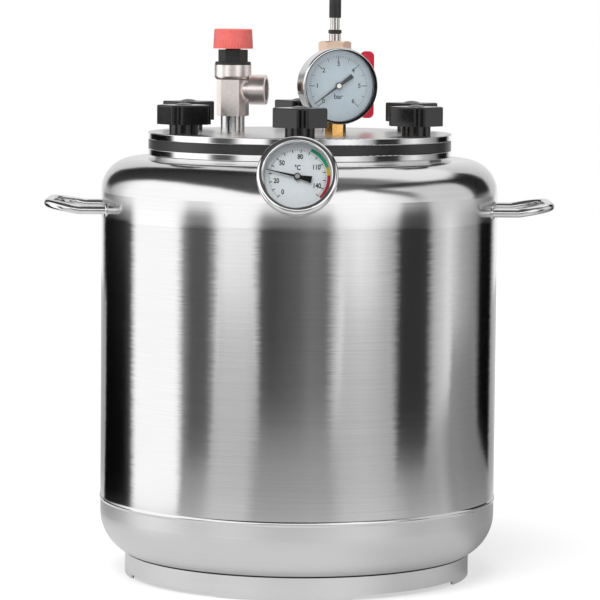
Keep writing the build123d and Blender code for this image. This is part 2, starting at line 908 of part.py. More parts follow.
def air_nut():
    nut = turned(
        (air_radius + fit, plug_top),
        (air_nut_radius, plug_top),
        (air_nut_radius, air_nut_top),
        (air_radius + fit, air_nut_top),
    )
    return round_rims(nut, air_nut_top, edge_round, air_radius + 1)


def air_seal():
    ring = tube(air_seal_radius, air_radius + fit, air_nut_top, air_seal_top)
    return round_rims(ring, air_seal_top, edge_round, air_radius + 1)


def air_core_pin():
    head = drum(core_head, core_top - core_length, core_top - core_length + core_head)
    return head + drum(core_radius, core_top - core_length, core_top)


def air_cap():
    cap = drum(air_cap_radius, air_cap_low, air_cap_low + air_cap_height)
    cap = round_rims(cap, air_cap_low + air_cap_height, edge_round)
    rib = Pos(air_cap_radius, 0, 0) * drum(air_cap_rib_depth, air_cap_low - 1, air_cap_low + air_cap_depth)
    for i in range(air_cap_ribs):
        cap = cap - Rot(0, 0, i * 360.0 / air_cap_ribs) * rib
    depth = air_top - air_cap_low + core_head
    return cap - drum(air_radius + fit, air_cap_low - 1, air_cap_low + depth)


def vessel_nodes():
    pocket = therm_place * thermometer_pocket()
    top = revolve(head_section(top_knuckle, top_straight, mouth_radius, wall), Axis.Z)
    top = Pos(0, 0, upper_seam) * (top + weld_bead(top_bead_width, top_bead_height))
    sleeve = therm_place * drum(pocket_radius, stem_end, nut_low)
    handle = side_handle()
    studs = [place * clamp_stud() for place in around(clamp_count, clamp_circle, first_clamp)]
    bottom = revolve(head_section(bottom_knuckle, bottom_straight, 0, wall), Axis.Z)
    bottom = bottom + weld_bead(bead_width, bead_height)
    return {
        "base_ring": base_ring(),
        "bottom_head": Pos(0, 0, lower_seam) * Rot(180, 0, 0) * bottom,
        "barrel": tube(body_radius, body_radius - wall, lower_seam, upper_seam),
        "top_head": top - sleeve,
        "neck_flange": neck_flange(),
        "clamp_studs": Compound(studs),
        "handle_right": handle,
        "handle_left": mirror(handle, Plane.YZ),
        "lid_gasket": gasket(),
        "thermometer_pocket": pocket,
        "jar_rack": jar_rack(),
    }


def thermometer_nodes():
    pieces = {
        "thermometer_case": thermometer_case(),
        "thermometer_bezel": instrument_bezel(
            therm_radius, therm_bezel_depth, therm_rim, therm_crown, therm_rim_round
        ),
        "thermometer_glass": instrument_glass(therm_radius),
        "thermometer_dial": instrument_dial(therm_radius),
        "thermometer_pointer": thermometer_pointer(),
        "thermometer_stem": thermometer_stem(),
        "thermometer_coil": thermometer_coil(),
    }
    return {name: therm_place * piece for name, piece in pieces.items()}


def safety_nodes():
    place = fitting_place(safety_angle, outlet_turn)
    pieces = {
        "safety_valve_body": safety_body(),
        "safety_valve_bonnet": safety_bonnet(),
        "safety_valve_spring": safety_spring(),
        "safety_valve_disc": safety_disc(),
        "safety_valve_cap": safety_cap(),
    }
    return {name: place * piece for name, piece in pieces.items()}


def gauge_nodes():
    socket = gauge_socket()
    pieces = {
        "gauge_socket": socket,
        "gauge_case": gauge_case(),
        "gauge_bezel": instrument_bezel(
            gauge_radius, gauge_bezel_depth, gauge_rim, gauge_crown, gauge_rim_round
        ),
        "gauge_glass": instrument_glass(gauge_radius),
        "gauge_dial": instrument_dial(gauge_radius),
        "gauge_pointer": instrument_pointer(gauge_reach, gauge_tail, gauge_tail_width, gauge_rest),
        "gauge_arbor": gauge_arbor(),
        "gauge_sector": gauge_sector(),
        "gauge_bourdon_tube": bourdon_tube() - socket,
    }
    return {name: gauge_place * piece for name, piece in pieces.items()}


def ball_nodes():
    place = fitting_place(ball_angle)
    pieces = {
        "ball_valve_body": ball_body(),
        "ball_valve_end": ball_end(),
        "ball_valve_seats": Compound(ball_seats()),
        "ball_valve_ball": ball(),
        "ball_valve_stem": ball_spindle(),
        "ball_valve_gland_nut": gland_nut(),
        "ball_valve_handle": ball_handle(),
        "ball_valve_handle_nut": handle_nut(),
        "air_valve_plug": air_plug(),
        "air_valve_stem": air_stem(),
        "air_valve_nut": air_nut(),
        "air_valve_seal": air_seal(),
        "air_valve_core_pin": air_core_pin(),
        "air_valve_cap": air_cap(),
    }
    return {name: place * piece for name, piece in pieces.items()}


def knob_nodes():
    nodes = {}
    for i, place in enumerate(around(clamp_count, clamp_circle, first_clamp)):
        turn = Rot(0, 0, grip_turns[i % len(grip_turns)])
        nodes[f"knob_{i + 1}_grip"] = place * turn * knob_grip()
        nodes[f"knob_{i + 1}_insert"] = place * knob_insert()
    return nodes


def lid_nodes():
    bushes = [fitting_place(angle) * lid_bush() for angle in (safety_angle, ball_angle)]
    return {"lid_plate": lid_plate(), "lid_bushes": Compound(bushes)}


nodes = {
    **vessel_nodes(),
    **thermometer_nodes(),
    **lid_nodes(),
    **safety_nodes(),
    **gauge_nodes(),
    **ball_nodes(),
    **knob_nodes(),
}

os.makedirs("parts", exist_ok=True)
for name, shape in nodes.items():
    export_step(shape, f"parts/{name}.step")
print("wrote", len(nodes), "nodes")
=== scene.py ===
import json
from math import cos, pi, radians, sin

import bmesh
import bpy
from mathutils import Matrix, Quaternion, Vector


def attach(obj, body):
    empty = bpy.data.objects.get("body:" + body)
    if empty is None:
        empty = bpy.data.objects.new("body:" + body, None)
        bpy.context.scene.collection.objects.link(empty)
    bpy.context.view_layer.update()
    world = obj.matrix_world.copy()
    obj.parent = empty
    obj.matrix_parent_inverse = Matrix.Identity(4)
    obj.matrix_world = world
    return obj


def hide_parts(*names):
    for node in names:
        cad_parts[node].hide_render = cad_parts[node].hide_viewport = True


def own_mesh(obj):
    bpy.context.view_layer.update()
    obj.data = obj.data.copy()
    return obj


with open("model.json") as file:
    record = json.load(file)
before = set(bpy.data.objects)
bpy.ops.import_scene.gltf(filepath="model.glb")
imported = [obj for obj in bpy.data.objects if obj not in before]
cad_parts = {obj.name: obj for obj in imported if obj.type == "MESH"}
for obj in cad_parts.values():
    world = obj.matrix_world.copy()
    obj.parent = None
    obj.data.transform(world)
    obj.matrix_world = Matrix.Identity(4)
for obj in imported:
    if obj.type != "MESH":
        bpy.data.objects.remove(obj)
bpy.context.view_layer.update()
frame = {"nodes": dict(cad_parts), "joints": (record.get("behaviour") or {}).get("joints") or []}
nodes = frame["nodes"]
joints = {joint["name"]: joint for joint in frame["joints"]}
print("frame loaded:", len(nodes), "nodes")


class Wire:  # one socket of a node tree, with its sums written as Python
    def __init__(self, tree, socket=None):
        self.tree = tree
        self.socket = socket

    def node(self, kind, setup=None, inputs=None, out=0):
        made = self.tree.nodes.new(kind)
        for name, value in (setup or {}).items():
            if name == "stops":
                stops = made.color_ramp.elements
                while len(stops) < len(value):
                    stops.new(0.5)
                for stop, (place, colour) in zip(stops, value):
                    stop.position = place
                    stop.color = colour
            else:
                setattr(made, name, value)
        for name, value in (inputs or {}).items():
            if isinstance(value, Wire):
                self.tree.links.new(value.socket, made.inputs[name])
            else:
                made.inputs[name].default_value = value
        return Wire(self.tree, made.outputs[out] if made.outputs else None)

    def out(self, name):  # another output of the same node
        return Wire(self.tree, self.socket.node.outputs[name])

    def math(self, operation, first, second=0.0, third=0.0):
        return self.node("ShaderNodeMath", {"operation": operation}, {0: first, 1: second, 2: third})

    def __add__(self, other):
        return self.math("ADD", self, other)

    def __radd__(self, other):
        return self.math("ADD", other, self)

    def __sub__(self, other):
        return self.math("SUBTRACT", self, other)

    def __rsub__(self, other):
        return self.math("SUBTRACT", other, self)

    def __mul__(self, other):
        return self.math("MULTIPLY", self, other)

    def __rmul__(self, other):
        return self.math("MULTIPLY", other, self)

    def __truediv__(self, other):
        return self.math("DIVIDE", self, other)

    def __rtruediv__(self, other):
        return self.math("DIVIDE", other, self)

    def between(self, low, high):  # 0 below low, 1 above high, smooth in between
        return self.node("ShaderNodeMapRange", {"interpolation_type": "SMOOTHSTEP", "clamp": True},
                         {"Value": self, "From Min": low, "From Max": high, "To Min": 0.0, "To Max": 1.0})

    def largest(self, other):
        return self.math("MAXIMUM", self, other)

    def within(self, start, full, hold, end):  # rises from start to full, falls from hold to end
        return self.between(start, full) * (1.0 - self.between(hold, end))

    def axes(self):
        split = self.node("ShaderNodeSeparateXYZ", {}, {0: self})
        return split, split.out("Y"), split.out("Z")

    def stretched(self, sizes):  # coordinates scaled along each axis
        return self.node("ShaderNodeVectorMath", {"operation": "MULTIPLY"}, {0: self, 1: sizes})

    def noise(self, scale, detail=2.0, rough=0.5):
        return self.node("ShaderNodeTexNoise", {}, {"Vector": self, "Scale": scale, "Detail": detail,
                                                    "Roughness": rough})

    def blend(self, first, second):  # colours mixed by this value
        return self.node("ShaderNodeMix", {"data_type": "RGBA"}, {0: self, 6: first, 7: second}, 2)


def grey(level):
    return (level, level, level, 1.0)


def rgb(red, green, blue):
    return (red, green, blue, 1.0)


def startFinish(name):
    finish = bpy.data.materials.new(name)
    finish.use_nodes = True
    finish.node_tree.nodes.clear()
    wire = Wire(finish.node_tree)
    place = wire.node("ShaderNodeTexCoord", {}, {}, "Object")
    return finish, wire, place


def endFinish(wire, sockets):
    shader = wire.node("ShaderNodeBsdfPrincipled", {}, sockets)
    wire.node("ShaderNodeOutputMaterial", {}, {"Surface": shader})


def dressed(finish, *names):
    for name in names:
        slots = nodes[name].data.materials
        slots.clear()
        slots.append(finish)


# Studio: white behind, panels and dark gaps round the front, dark overhead
# Its tables go by azimuth, in degrees from the front and positive to the right
studio = {
    "cameraAt": (0.0, -3.0, 0.5269),
    "lookAt": (0.0014, 0.0, 0.2531),
    "lens": 195.1,
    "sensor": 36.0,
    "roll": 0.47,
    "bands": [(-180, 1.05), (-162, 1.05), (-152, 0.0), (-121, 0.0), (-114, 0.05), (-108, 1.5), (-74, 1.52),
              (-69, 0.3), (-64, 0.11), (-54, 0.12), (-50, 0.4), (-46, 1.2), (-42, 1.42), (-27, 1.35),
              (-21.2, 0.08), (-15, 0.06), (0, 0.13), (7, 0.22), (16, 0.18), (24, 1.1), (35, 1.35), (43, 1.15),
              (56, 0.5), (60, 0.03), (79, 0.04), (84, 0.62), (96, 1.1), (108, 0.6), (124, 0.3), (130, 0.0),
              (147, 0.0), (158, 1.05)],
    "gapTop": [(-180, -1), (-156, -1), (-117, -0.5), (-110, 0), (-70, 0), (-66, 2.5), (-52, 2.5), (-48, 0), (-24, 0),
               (-20, 3), (18, 3), (22, 0), (58, 0), (62, 4), (78, 4), (84, 0), (118, 0), (124, -0.5), (146, -0.5),
               (154, -1)],
    "fill": [(-180, 0.85), (-156, 0.8), (-140, 0.5), (-128, 0.85), (-118, 1.3), (-110, 1.4), (-40, 1.4), (45, 1.4),
             (60, 1.15), (74, 0.85), (118, 0.8), (150, 0.7), (170, 0.85)],
    "hoodLow": [(-180, 90), (-162, 90), (-157, 30), (-153, 3), (-142, 4), (-135, 11), (-129, 18), (-122, 25),
                (-110, 34), (-90, 40), (-60, 39), (-42, 33), (-28, 26), (-10, 23), (10, 26), (25, 35), (40, 39),
                (60, 38), (80, 37), (100, 35), (112, 31), (117, 25), (119, 12), (121.5, 2), (145, 2),
                (148.5, 30), (152, 90)],
    "hoodHigh": [(-180, 90), (15, 90), (40, 60), (60, 50), (84, 49), (92, 47), (102, 44), (112, 41), (122, 37),
                 (145, 34), (150, 34)],
    "hood": [(-150, 0.02), (-125, 0.05), (-60, 0.085), (0, 0.1), (30, 0.16), (50, 0.12), (66, 0.03), (90, 0.015),
             (130, 0.015)],
    "overhead": [(-180, 1.05), (-152, 0.8), (-60, 0.2), (45, 0.22), (80, 0.28), (90, 0.5), (104, 1.1)],
    "heights": (-10.0, 100.0),  # lowest height in the tables that give heights, and their span
    "gapSoft": (2.5, 3.0),
    "hoodSoft": (4.0, 4.0),
    "overheadSoft": (3.0, 4.0),
    "streak": {"slant": 288.0, "height": 76.0, "soft": (3.0, 11.0), "sides": (37.8, 46.8, 68.4, 79.2),
               "share": 0.95, "tone": 0.14},
    "plainLevel": 0.65,
    "floorReach": [(-180, 4.0), (-146, 3.0), (-134, 0.5), (-101, 0.5), (-95, 0.6), (-64, 0.62), (-61, 1.0),
                   (-48, 1.05), (-44, 3.1), (-26, 3.1), (-20, 1.35), (20, 1.45), (26, 3.1), (50, 3.1), (54, 1.0),
                   (70, 1.0), (77, 1.3), (92, 1.6), (97, 2.4), (116, 2.4), (121, 1.2), (138, 0.75), (148, 3.0)],
    "floorHeight": -0.0004,
    "floorNear": 0.8,
    "floorFar": 0.55,
    "farFade": (0.2, 1.1),
    "floorGlow": 0.58,
    "bandLightLevels": (0.3, 0.32),
    "bandFade": (0.35, 0.75),
    "floorShade": (80.0, 93.0, 126.0, 142.0),
    "shadeDepth": 0.46,
    "nearShade": (12.0, 42.0),
    "nearFade": (0.24, 0.42),
    "nearDepth": 0.2,
    "speckSize": 900.0,
    "speckTones": (0.95, 0.98),
    "lampTurn": -25.0,
    "lampRise": 58.0,
    "lampSpread": 40.0,
    "lampPower": 2.6,
}


def makeCamera():
    lens = bpy.data.cameras.new("camera")
    lens.lens = studio["lens"]
    lens.sensor_width = studio["sensor"]
    camera = bpy.data.objects.new("camera", lens)
    bpy.context.scene.collection.objects.link(camera)
    camera.location = studio["cameraAt"]
    towards = Vector(studio["lookAt"]) - Vector(studio["cameraAt"])
    camera.rotation_mode = "QUATERNION"
    camera.rotation_quaternion = (towards.to_track_quat("-Z", "Y")
                                  @ Quaternion((0, 0, 1), radians(studio["roll"])))
    bpy.context.scene.camera = camera


def rampPlace(angle):  # an azimuth in degrees as a place on a ramp
    return angle / 360 + 0.5


def azimuth(wire, x, y):  # the same place for a direction that the nodes give
    return wire.math("ARCTAN2", x, 0.0 - y) / (2 * pi) + 0.5


def around(wire, turn, key, low=0.0, span=1.0):  # a level of the studio by azimuth, from its table
    stops = [(rampPlace(angle), grey((level - low) / span)) for angle, level in studio[key]]
    ramp = wire.node("ShaderNodeValToRGB", {"stops": stops}, {"Fac": turn})
    return ramp if span == 1.0 else ramp * span + low


def makeWorld():
    world = bpy.data.worlds.new("studio")
    world.use_nodes = True
    world.node_tree.nodes.clear()
    bpy.context.scene.world = world
    wire = Wire(world.node_tree)
    x, y, z = wire.node("ShaderNodeTexCoord", {}, {}, "Generated").axes()
    turn = azimuth(wire, x, y)
    height = wire.math("ARCSINE", z) * (180 / pi)

    def over(key, soft):  # 1 above the height that a table gives
        edge = around(wire, turn, key, *studio["heights"])
        return height.between(edge - studio[soft][0], edge + studio[soft][1])

    room = over("gapTop", "gapSoft").blend(around(wire, turn, "bands"), around(wire, turn, "fill"))
    streak = studio["streak"]  # slanting grey streak on the right
    slope = wire.math("ABSOLUTE", height + (turn - 0.5) * streak["slant"] - streak["height"])
    line = (1.0 - slope.between(*streak["soft"])) * turn.within(*map(rampPlace, streak["sides"]))
    room = (line * streak["share"]).blend(room, grey(streak["tone"]))
    room = over("hoodLow", "hoodSoft").blend(room, around(wire, turn, "hood"))
    room = over("hoodHigh", "overheadSoft").blend(room, around(wire, turn, "overhead"))
    path = wire.node("ShaderNodeLightPath", {}, {}, "Is Camera Ray")
    mirrored = path.out("Is Glossy Ray").blend(grey(studio["plainLevel"]), room)
    seen = path.largest(path.out("Is Transmission Ray")).blend(mirrored, grey(1.0))
    glow = wire.node("ShaderNodeBackground", {}, {"Color": seen, "Strength": 1.0})
    wire.node("ShaderNodeOutputWorld", {}, {"Surface": glow})


def floorFinish():  # white to the camera, toned by place in what the metal mirrors
    finish, wire, place = startFinish("pale_floor")
    path = wire.node("ShaderNodeLightPath", {}, {}, "Is Camera Ray")
    mirrored = path.out("Is Glossy Ray")
    seen = path.largest(mirrored).largest(path.out("Is Transmission Ray"))
    reach = wire.node("ShaderNodeVectorMath", {"operation": "LENGTH"}, {0: place}, "Value")
    x, y = place.axes()[:2]
    side = azimuth(wire, x, y)
    gain, loss = studio["bandLightLevels"]
    # painted light: the floor that the metal mirrors is lighter in line with the bright panels, darker in line with
    # the gaps
    tint = (around(wire, side, "bands") * gain - loss) * reach.between(*studio["bandFade"])
    shade = side.within(*map(rampPlace, studio["floorShade"])) * studio["shadeDepth"]  # dim on the right
    close = side.between(*map(rampPlace, studio["nearShade"])) * (1.0 - reach.between(*studio["nearFade"]))
    tone = studio["floorNear"] + reach.between(*studio["farFade"]) * (studio["floorFar"] - studio["floorNear"])
    tone = tone * (1.0 + tint) * (1.0 - shade) * (1.0 - close * studio["nearDepth"])
    speck = place.noise(studio["speckSize"]).blend(*map(grey, studio["speckTones"]))
    matt = wire.node("ShaderNodeBsdfDiffuse", {}, {"Color": mirrored.blend(speck, tone)})
    glow = wire.node("ShaderNodeEmission", {}, {"Color": mirrored.blend(grey(1.0), tone), "Strength": 1.0})
    mixed = wire.node("ShaderNodeMixShader", {}, {0: seen * studio["floorGlow"], 1: matt, 2: glow})
    wire.node("ShaderNodeOutputMaterial", {}, {"Surface": mixed})
    return finish


def makeFloor():
    middle = (0, 0, studio["floorHeight"])
    edge = [(far * sin(radians(angle)), -far * cos(radians(angle)), studio["floorHeight"])
            for angle, far in studio["floorReach"]]
    mesh = bpy.data.meshes.new("floor")
    mesh.from_pydata([middle] + edge, [], [(0, k + 1, (k + 1) % len(edge) + 1) for k in range(len(edge))])
    mesh.materials.append(floorFinish())
    floor = bpy.data.objects.new("floor", mesh)
    bpy.context.scene.collection.objects.link(floor)


def makeLamp():
    light = bpy.data.lights.new("key", "SUN")
    light.angle = radians(studio["lampSpread"])
    light.energy = studio["lampPower"]
    key = bpy.data.objects.new("key", light)
    bpy.context.scene.collection.objects.link(key)
    turn, rise = radians(studio["lampTurn"]), radians(studio["lampRise"])
    shine = Vector((-sin(turn) * cos(rise), cos(turn) * cos(rise), -sin(rise)))
    key.rotation_euler = shine.to_track_quat("-Z", "Y").to_euler()
    key.visible_glossy = False  # the panels are what the metal mirrors


bpy.context.scene.view_settings.view_transform = "Standard"
makeCamera()
makeWorld()
makeFloor()
makeLamp()
print("camera, light and floor made")


# Noise that the finishes share: fine grain, and a broader cloud mixed into it
grainLook = {"detail": 3.0, "rough": 0.6, "contrast": (0.3, 0.7), "steelShare": 0.7, "steelDepth": 0.0002,
             "coatShare": 0.5, "coatCloud": 0.12, "coatDepth": 0.0003}

# Steel pieces: colour, roughness and brushing of each
steels = {
    "barrel": {"nodes": ["barrel"], "colour": 0.62, "spread": 0.03, "rough": 0.12, "roughSpread": 0.03,
               "lines": (8.0, 8.0, 1800.0), "lineBump": 0.012, "cloud": 9.0, "anisotropic": 0.55, "turn": 0.25,
               "comb": (60.0, 60.0, 800.0), "combTilt": 0.035},
    "shoulder": {"nodes": ["top_head"], "colour": 0.68, "spread": 0.02, "rough": 0.155, "roughSpread": 0.04,
                 "lines": (5.0, 5.0, 1800.0), "lineBump": 0.006, "cloud": 14.0, "anisotropic": 0.3, "turn": 0.25,
                 "lean": [(0.332, 0.0), (0.3345, 0.03), (0.3537, 0.08), (0.366, 0.0)],
                 "bead": (0.3298, 0.3301, 0.333, 0.3333), "beadFlat": 0.92},
    "satin_base": {"nodes": ["base_ring", "bottom_head"], "colour": 0.66, "spread": 0.012, "rough": 0.38,
                   "roughSpread": 0.04, "lines": (8.0, 8.0, 900.0), "lineBump": 0.004, "cloud": 18.0,
                   "anisotropic": 0.3, "turn": 0.25, "creaseShade": (0.0203, 0.0206, 0.0219, 0.0223),
                   "creaseShadeTone": 0.02, "polish": (0.069, 0.0694, 0.0741, 0.0745), "polishGain": 0.28,
                   "hollowShade": (0.1572, 0.1582), "hollowShadeTop": (0.019, 0.0205), "hollowShadeTone": 0.05},
    "rack": {"nodes": ["jar_rack"], "colour": 0.6, "spread": 0.06, "rough": 0.36, "roughSpread": 0.08,
             "lines": (700.0, 10.0, 10.0), "lineBump": 0.05, "cloud": 20.0, "anisotropic": 0.0, "turn": 0.0},
    "flange": {"nodes": ["neck_flange"], "colour": 0.7, "spread": 0.04, "rough": 0.12, "roughSpread": 0.05,
               "lines": (6.0, 6.0, 1500.0), "lineBump": 0.03, "cloud": 20.0, "anisotropic": 0.3, "turn": 0.25,
               "lean": [(0.0, -0.03)]},
    "rod": {"nodes": ["handle_left", "handle_right"], "colour": 0.7, "spread": 0.04, "rough": 0.16,
            "roughSpread": 0.06, "lines": (90.0, 90.0, 90.0), "lineBump": 0.02, "cloud": 40.0,
            "anisotropic": 0.0, "turn": 0.0},
    "turned": {"nodes": ["lid_bushes", "clamp_studs", "thermometer_pocket", "thermometer_stem",
                         "ball_valve_handle_nut"], "colour": 0.64, "spread": 0.05, "rough": 0.2,
               "roughSpread": 0.06, "lines": (20.0, 20.0, 2400.0), "lineBump": 0.06, "cloud": 60.0,
               "anisotropic": 0.3, "turn": 0.25},
    "bezel": {"nodes": ["thermometer_case", "thermometer_bezel"], "colour": 0.74, "spread": 0.03, "rough": 0.06,
              "roughSpread": 0.03, "lines": (60.0, 60.0, 60.0), "lineBump": 0.01, "cloud": 60.0,
              "anisotropic": 0.0, "turn": 0.0},
    "gauge_can": {"nodes": ["gauge_case"], "colour": 0.74, "spread": 0.03, "rough": 0.08, "roughSpread": 0.03,
                  "lines": (60.0, 60.0, 60.0), "lineBump": 0.01, "cloud": 60.0, "anisotropic": 0.0, "turn": 0.0,
                  "rimShade": "gauge_pointer_turn", "rimShadeEdge": (0.0325, 0.0327), "rimShadeDepth": (0.0095, 0.0099),
                  "rimShadeShift": (0.0, 0.0, 0.0), "rimShadeTone": 0.015},
    "gauge_rim": {"nodes": ["gauge_bezel"], "colour": 0.74, "spread": 0.03, "rough": 0.08,
                  "roughSpread": 0.03, "lines": (60.0, 60.0, 60.0), "lineBump": 0.01, "cloud": 60.0,
                  "anisotropic": 0.0, "turn": 0.0, "rimShade": "gauge_pointer_turn", "rimShadeEdge": (0.0334, 0.0336),
                  "rimShadeDepth": (0.0095, 0.0099), "rimShadeShift": (0.0006, 0.0, -0.0004), "rimShadeTone": 0.015},
}


def axisReach(wire, place, joint, shift=(0.0, 0.0, 0.0)):  # distance from a joint's axis, and along it
    hub = Vector(joints[joint]["pos_m"]) + Vector(shift)
    away = wire.node("ShaderNodeVectorMath", {"operation": "SUBTRACT"}, {0: place, 1: hub})
    axis = tuple(joints[joint]["axis"])
    side = wire.node("ShaderNodeVectorMath", {"operation": "CROSS_PRODUCT"}, {0: away, 1: axis})
    out = wire.node("ShaderNodeVectorMath", {"operation": "LENGTH"}, {0: side}, "Value")
    return out, wire.node("ShaderNodeVectorMath", {"operation": "DOT_PRODUCT"}, {0: away, 1: axis}, "Value")


def unit(wire, vector):
    return wire.node("ShaderNodeVectorMath", {"operation": "NORMALIZE"}, {0: vector})


def leaned(wire, normal, z, leans):  # tips a normal up by an amount that changes with height
    tilt = leans[0][1]
    for (low, before), (high, after) in zip(leans, leans[1:]):
        tilt = tilt + z.between(low, high) * (after - before)
    rise = wire.node("ShaderNodeCombineXYZ", {}, {2: tilt})
    return unit(wire, wire.node("ShaderNodeVectorMath", {"operation": "ADD"}, {0: normal, 1: rise}))


def steelFinish(name, look):
    finish, wire, place = startFinish(name + "_steel")
    x, y, z = place.axes()
    grain = place.stretched(look["lines"]).noise(1.0, grainLook["detail"], grainLook["rough"])
    cloud = place.noise(look["cloud"], grainLook["detail"])
    mottle = grain * grainLook["steelShare"] + cloud * (1 - grainLook["steelShare"])
    colour = mottle.between(*grainLook["contrast"]).blend(grey(look["colour"] - look["spread"]),
                                                          grey(look["colour"] + look["spread"]))
    rough = look["rough"] + (cloud - 0.5) * look["roughSpread"] + (grain - 0.5) * look["roughSpread"]
    if "creaseShade" in look:  # painted shade: dark line where the head stands on the ring
        colour = z.within(*look["creaseShade"]).blend(colour, grey(look["creaseShadeTone"]))
    if "polish" in look:  # the weld shines between the brushed faces
        rough = rough - z.within(*look["polish"]) * look["polishGain"]
    if "hollowShade" in look:  # painted shade: dark inside the ring, where deep shadow falls
        reach = wire.math("SQRT", x * x + y * y)
        inside = (1.0 - reach.between(*look["hollowShade"])) * (1.0 - z.between(*look["hollowShadeTop"]))
        colour = inside.blend(colour, grey(look["hollowShadeTone"]))
    if "rimShade" in look:  # painted shade and painted dark reflection: black inside the rim, round the dial
        out, along = axisReach(wire, place, look["rimShade"], look["rimShadeShift"])
        inside = (1.0 - out.between(*look["rimShadeEdge"])) * (1.0 - along.between(*look["rimShadeDepth"]))
        colour = inside.blend(colour, grey(look["rimShadeTone"]))
    normal = wire.node("ShaderNodeBump", {}, {"Strength": look["lineBump"], "Distance": grainLook["steelDepth"],
                                              "Height": grain})
    if "bead" in look:  # the weld is dressed almost flush
        right, back, up = normal.axes()
        up = up * (1.0 - z.within(*look["bead"]) * look["beadFlat"])
        normal = unit(wire, wire.node("ShaderNodeCombineXYZ", {}, {0: right, 1: back, 2: up}))
    if "lean" in look:  # a wall that draws in or opens a little towards its top
        normal = leaned(wire, normal, z, look["lean"])
    if "comb" in look:  # brush marks lean the surface a little along the barrel's girth
        girth = unit(wire, wire.node("ShaderNodeCombineXYZ", {}, {0: 0.0 - y, 1: x}))
        lean = (place.stretched(look["comb"]).noise(1.0) - 0.5) * look["combTilt"]
        lean = wire.node("ShaderNodeVectorMath", {"operation": "SCALE"}, {0: girth, "Scale": lean})
        normal = unit(wire, wire.node("ShaderNodeVectorMath", {"operation": "ADD"}, {0: normal, 1: lean}))
    endFinish(wire, {"Base Color": colour, "Metallic": 1.0, "Roughness": rough, "Normal": normal,
                     "Anisotropic": look["anisotropic"], "Anisotropic Rotation": look["turn"]})
    dressed(finish, *look["nodes"])


for name, look in steels.items():
    steelFinish(name, look)

# Lid plate: brushed faces and a polished edge
lid = {"topTone": 0.66, "topSpread": 0.05, "topRough": 0.3, "edgeTone": 0.74, "edgeRough": 0.1, "roughSpread": 0.06,
       "facing": (0.6, 0.95), "lines": (4.0, 900.0, 900.0), "lineBump": 0.05, "cloud": 16.0, "lean": [(0.0, -0.03)]}


def lidFinish():
    finish, wire, place = startFinish("lid_steel")
    facing = wire.node("ShaderNodeNewGeometry", {}, {}, "Normal").axes()[2]
    flat = wire.math("ABSOLUTE", facing).between(*lid["facing"])
    grain = place.stretched(lid["lines"]).noise(1.0, grainLook["detail"], grainLook["rough"])
    cloud = place.noise(lid["cloud"], grainLook["detail"])
    top = grain.between(*grainLook["contrast"]).blend(grey(lid["topTone"] - lid["topSpread"]),
                                                      grey(lid["topTone"] + lid["topSpread"]))
    colour = flat.blend(grey(lid["edgeTone"]), top)
    rough = (lid["edgeRough"] + flat * (lid["topRough"] - lid["edgeRough"])
             + (cloud - 0.5) * lid["roughSpread"])
    normal = wire.node("ShaderNodeBump", {}, {"Strength": lid["lineBump"], "Distance": grainLook["steelDepth"],
                                              "Height": grain})
    normal = leaned(wire, normal, place.axes()[2], lid["lean"])
    endFinish(wire, {"Base Color": colour, "Metallic": 1.0, "Roughness": rough, "Normal": normal})
    dressed(finish, "lid_plate")


lidFinish()

